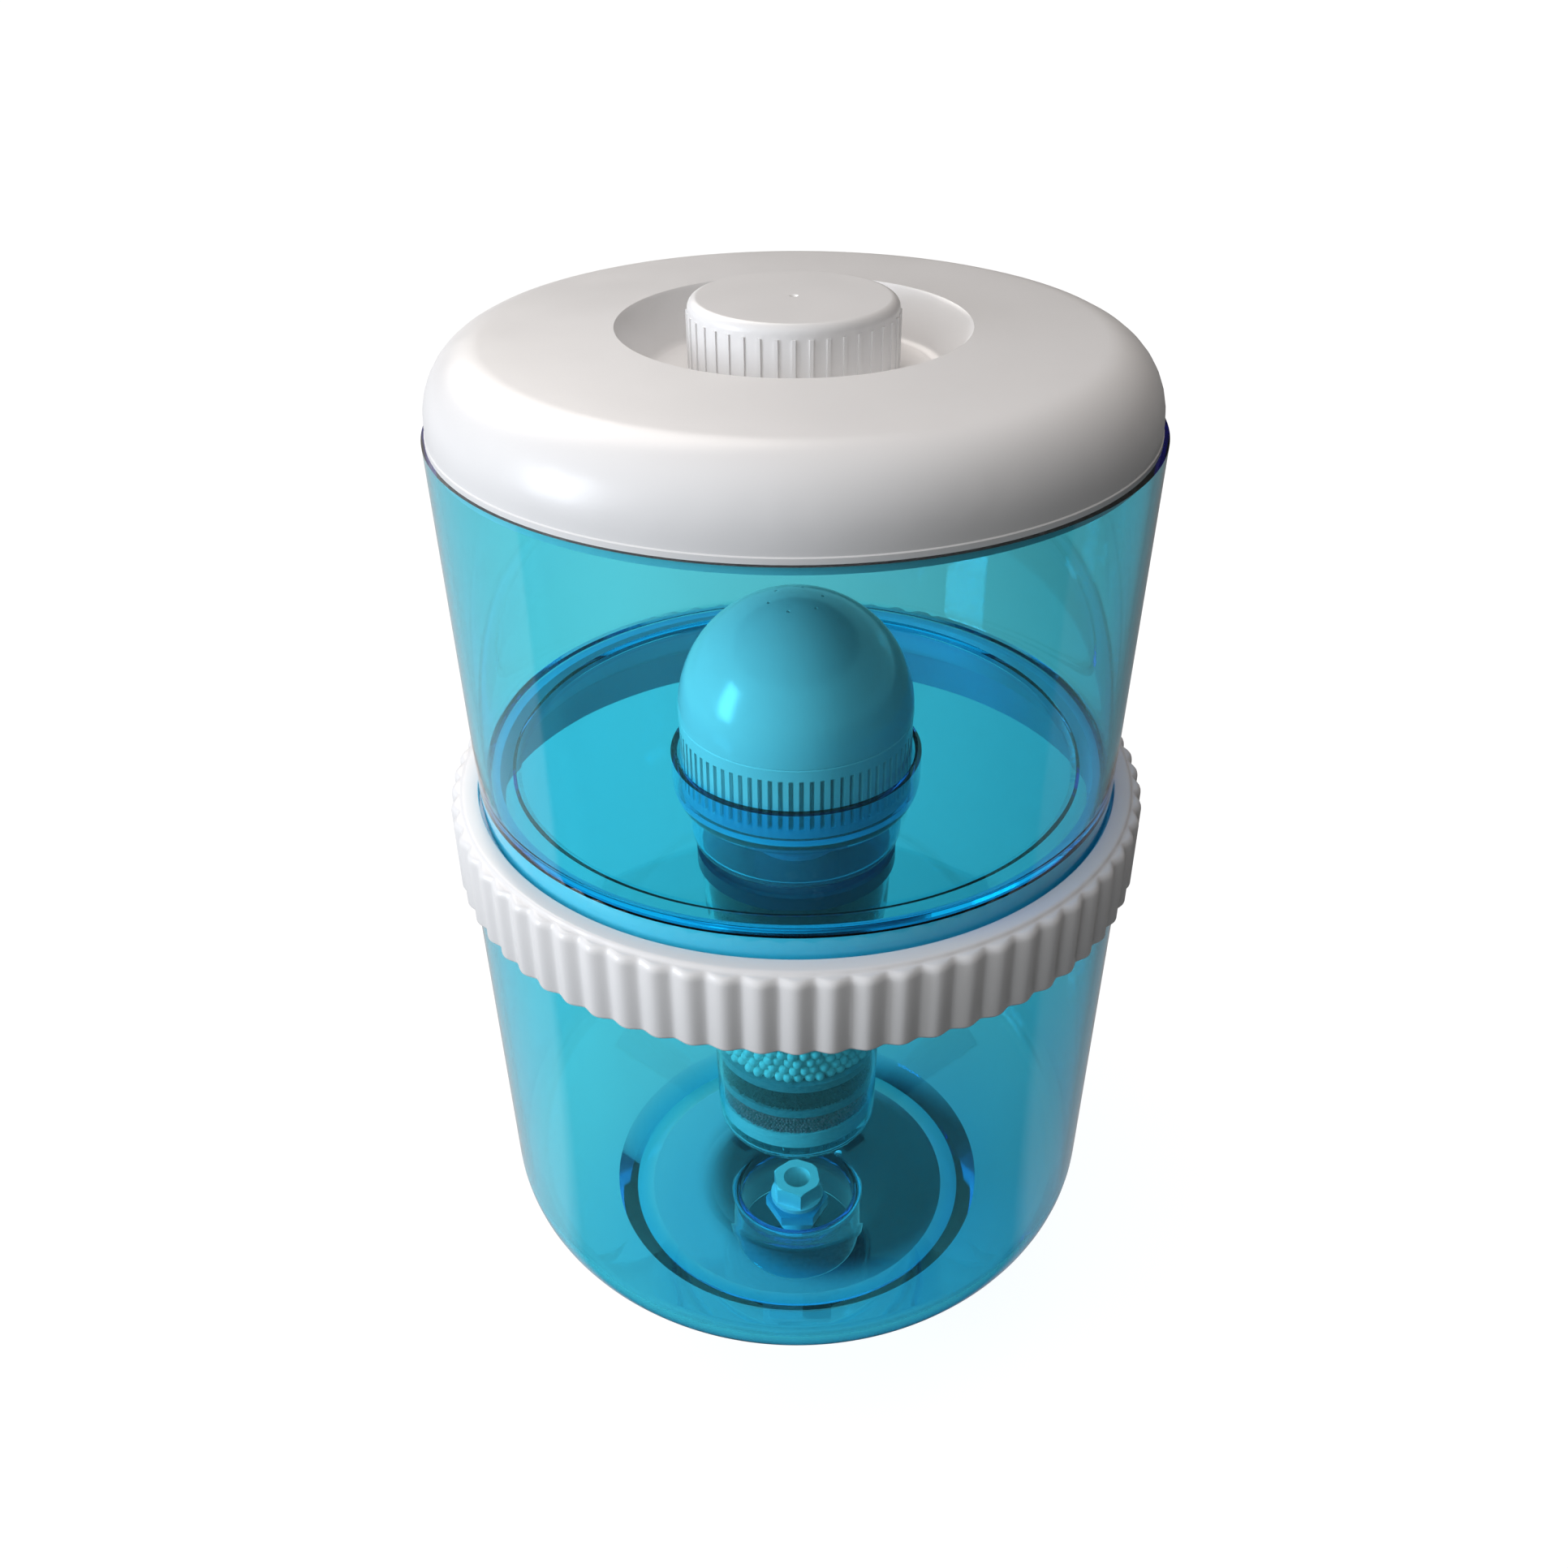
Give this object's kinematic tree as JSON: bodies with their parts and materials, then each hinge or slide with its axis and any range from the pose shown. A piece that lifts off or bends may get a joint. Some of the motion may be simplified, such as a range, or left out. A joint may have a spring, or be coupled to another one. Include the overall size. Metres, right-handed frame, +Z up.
{
  "type": "gravity water purifier bottle",
  "caption": "Two-tank gravity water purifier with a domed pre-filter, a layered mineral cartridge, a screw clamp ring, a lift-off lid with a fill cap and a neck that drops into a dispenser.",
  "frame": {"origin": "centre of the neck's lower end", "axes": "+Z up along the axis of both tanks; -Y is the side that faces the viewer"},
  "size_m": [0.2452, 0.2454, 0.4168],
  "materials": {
    "blue_clear": "transparent moulded, glossy",
    "pale_blue": "satin gloss",
    "deep_blue": "satin gloss",
    "white_plastic": "satin gloss",
    "clear_plastic": "clear, glossy",
    "silicone": "matt",
    "ceramic": "fired, porous",
    "fleece": "non-woven",
    "carbon": "granular",
    "mineral_balls": "fired beads",
    "mineral_sand": "granular"
  },
  "bodies": {
    "lower_tank": {"lower_tank": "blue_clear", "outlet_fitting": "pale_blue", "outlet_washer": "silicone", "outlet_nut": "white_plastic", "tank_gasket": "silicone"},
    "upper_tank": {"upper_tank": "blue_clear"},
    "clamp_ring": {"clamp_ring": "white_plastic"},
    "lid": {"lid": "white_plastic"},
    "cap_liner": {"cap_liner": "silicone"},
    "fill_cap": {"fill_cap": "white_plastic"},
    "prefilter": {"filter_base": "pale_blue", "ceramic_element": "ceramic", "element_gasket": "silicone", "stem_gasket": "silicone"},
    "dome": {"dome_shell": "pale_blue"},
    "cartridge_gasket": {"cartridge_gasket": "silicone"},
    "cartridge": {"cartridge_cap": "deep_blue", "cartridge_housing": "clear_plastic", "fleece_pad": "fleece", "carbon_bed": "carbon", "divider_discs": "clear_plastic", "mineral_ball_bed": "mineral_balls", "silver_carbon_bed": "carbon", "mineral_sand_bed": "mineral_sand", "polishing_pad": "fleece", "support_grid": "clear_plastic"}
  },
  "joints": [
    {"name": "tank_lift", "type": "slide", "parent": "lower_tank", "child": "upper_tank", "axis": [0, 0, 1], "range_m": [0, 0.18]},
    {"name": "ring_turn", "type": "hinge", "parent": "upper_tank", "child": "clamp_ring", "pos_m": [0, 0, 0.238], "axis": [0, 0, 1], "range_deg": [0, 540]},
    {"name": "lid_lift", "type": "slide", "parent": "upper_tank", "child": "lid", "axis": [0, 0, 1], "range_m": [0, 0.04]},
    {"name": "cap_rise", "type": "slide", "parent": "lid", "child": "cap_liner", "axis": [0, 0, 1], "range_m": [0, 0.0161]},
    {"name": "cap_turn", "type": "hinge", "parent": "cap_liner", "child": "fill_cap", "pos_m": [-0.0004, 0, 0.405], "axis": [0, 0, 1], "range_deg": [0, 720]},
    {"name": "prefilter_lift", "type": "slide", "parent": "upper_tank", "child": "prefilter", "axis": [0, 0, 1], "range_m": [0, 0.045]},
    {"name": "dome_lift", "type": "slide", "parent": "prefilter", "child": "dome", "axis": [0, 0, 1], "range_m": [0, 0.025]},
    {"name": "cartridge_drop", "type": "slide", "parent": "upper_tank", "child": "cartridge_gasket", "axis": [0, 0, -1], "range_m": [0, 0.0121]},
    {"name": "cartridge_turn", "type": "hinge", "parent": "cartridge_gasket", "child": "cartridge", "pos_m": [0, 0, 0.15], "axis": [0, 0, -1], "range_deg": [0, 1080]}
  ],
  "couplings": [
    {"joint": "cap_rise", "follows": "cap_turn", "m_per_rad": 0.0012732},
    {"joint": "cartridge_drop", "follows": "cartridge_turn", "m_per_rad": 0.00063662}
  ]
}
